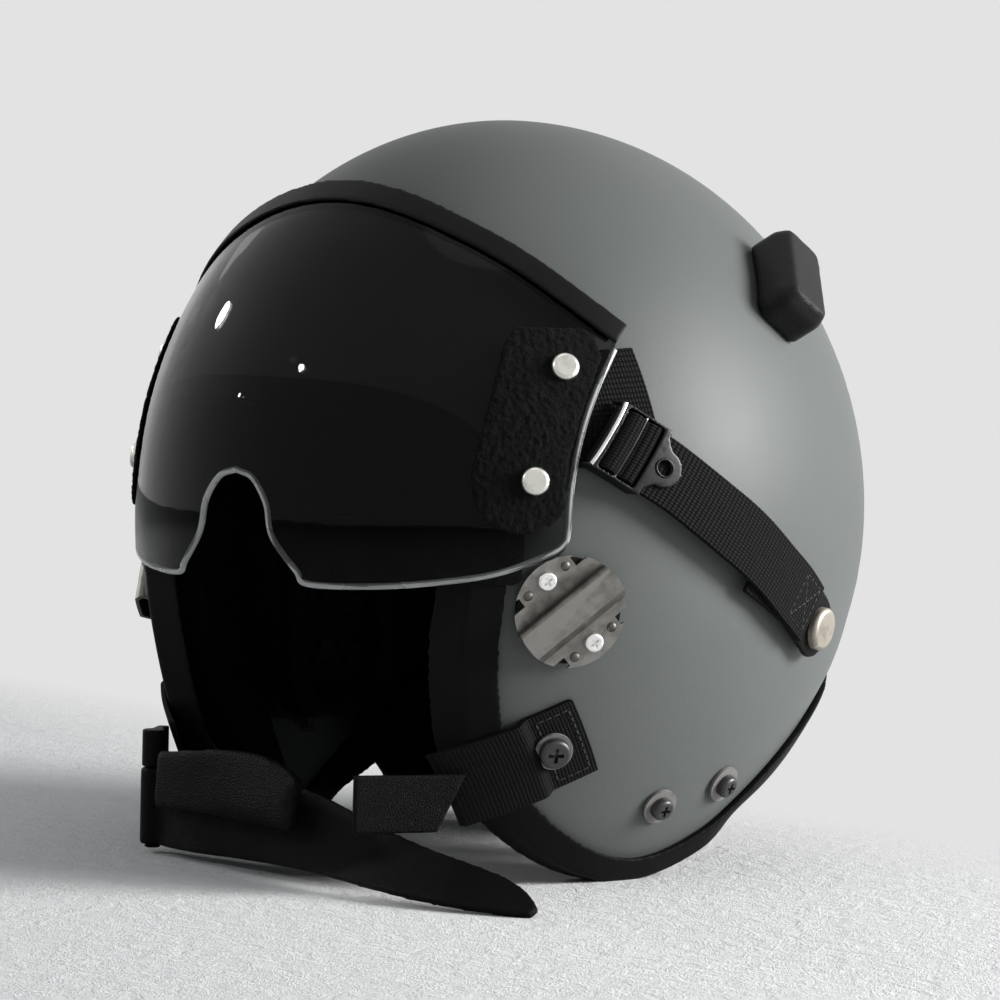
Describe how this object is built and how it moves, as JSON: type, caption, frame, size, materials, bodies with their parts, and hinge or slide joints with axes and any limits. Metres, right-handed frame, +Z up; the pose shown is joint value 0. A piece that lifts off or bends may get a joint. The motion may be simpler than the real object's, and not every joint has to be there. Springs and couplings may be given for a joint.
{
  "type": "pilot flight helmet",
  "caption": "Open-face flight helmet with a lift-up clear visor on webbing side straps, oxygen-mask bayonet receivers, ear cups and a leather chin strap.",
  "frame": {"origin": "centre of the whole helmet's box, on the ground that it rests on", "axes": "+Z up, -Y the wearer's front, +X the wearer's left"},
  "size_m": [0.2538, 0.2817, 0.2607],
  "materials": {
    "shell_paint": "matte grey-green paint",
    "roll_rubber": "matte black",
    "strip_rubber": "satin black",
    "stop_rubber": "satin black with moulded grain",
    "lens": "clear light smoke",
    "pile": "fuzzy black pile",
    "webbing": "ribbed black webbing",
    "nickel": "polished nickel",
    "black_metal": "black oxide",
    "snap_metal": "dull antique nickel over brass",
    "steel": "brushed stainless",
    "zinc": "zinc plate",
    "leather": "smooth black leather",
    "pad_leather": "soft black leather",
    "foam": "black expanded foam",
    "black_plastic": "moulded black"
  },
  "bodies": {
    "helmet": {"outer_shell": "shell_paint", "edge_roll": "roll_rubber", "hook_patch_left": "pile", "hook_patch_right": "pile", "strap_tab_left": "webbing", "strap_tab_right": "webbing", "nape_strap": "webbing", "snap_stud_left": "black_metal", "snap_stud_right": "black_metal", "snap_socket": "black_metal", "tab_end_left": "leather", "chin_anchor": "leather", "receiver_left": "steel", "receiver_right": "steel", "receiver_pad_left": "roll_rubber", "receiver_pad_right": "roll_rubber", "receiver_screws": "zinc", "cheek_screws": "black_metal", "cheek_washers": "black_metal", "nape_screws": "black_metal", "nape_washers": "black_metal", "inner_nuts": "zinc", "visor_stop_left": "stop_rubber", "visor_stop_right": "stop_rubber", "energy_liner": "foam", "crown_pad": "pad_leather", "brow_pad": "pad_leather", "rear_pad": "pad_leather", "nape_pad": "pad_leather", "nape_collar_left": "pad_leather", "nape_collar_right": "pad_leather", "ear_cup_left": "black_plastic", "ear_cup_right": "black_plastic", "ear_grille_left": "black_plastic", "ear_grille_right": "black_plastic", "earphones": "black_plastic", "ear_seal_left": "pad_leather", "ear_seal_right": "pad_leather"},
    "visor": {"visor_lens": "lens", "visor_edge_strip": "strip_rubber", "pile_patch_left": "pile", "pile_patch_right": "pile", "visor_rivets": "nickel", "yoke_left": "webbing", "yoke_right": "webbing"},
    "strap_left": {"rear_strap_left": "webbing", "strap_tail_left": "webbing", "snap_cap_left": "snap_metal", "snap_tab_left": "leather"},
    "strap_right": {"rear_strap_right": "webbing", "strap_tail_right": "webbing", "snap_cap_right": "snap_metal", "snap_tab_right": "leather"},
    "buckle_left": {"slider_buckle_left": "black_metal"},
    "buckle_right": {"slider_buckle_right": "black_metal"},
    "chin": {"chin_strap": "leather", "chin_pad": "pad_leather"}
  },
  "joints": [
    {"name": "visor_lift", "type": "hinge", "parent": "helmet", "child": "visor", "pos_m": [0, 0.0007, 0.1314], "axis": [-1, 0, 0], "range_deg": [0, 50]},
    {"name": "strap_left_swing", "type": "hinge", "parent": "helmet", "child": "strap_left", "pos_m": [0.1194, 0.02394, 0.08646], "axis": [-0.9968, 0, 0.0797], "range_deg": [0, 30.5]},
    {"name": "strap_right_swing", "type": "hinge", "parent": "helmet", "child": "strap_right", "pos_m": [-0.1194, 0.02394, 0.08646], "axis": [-0.9968, 0, -0.0797], "range_deg": [0, 30.5]},
    {"name": "buckle_left_slide", "type": "slide", "parent": "strap_left", "child": "buckle_left", "axis": [-0.4394, -0.7436, 0.5039], "range_m": [-0.006, 0]},
    {"name": "buckle_right_slide", "type": "slide", "parent": "strap_right", "child": "buckle_right", "axis": [0.4394, -0.7436, 0.5039], "range_m": [-0.006, 0]},
    {"name": "chin_strap_open", "type": "hinge", "parent": "helmet", "child": "chin", "pos_m": [-0.06511, -0.11266, 0.015], "axis": [0, 0, -1], "range_deg": [0, 70]}
  ],
  "couplings": [
    {"joint": "strap_left_swing", "follows": "visor_lift", "ratio": 0.61},
    {"joint": "strap_right_swing", "follows": "visor_lift", "ratio": 0.61}
  ]
}
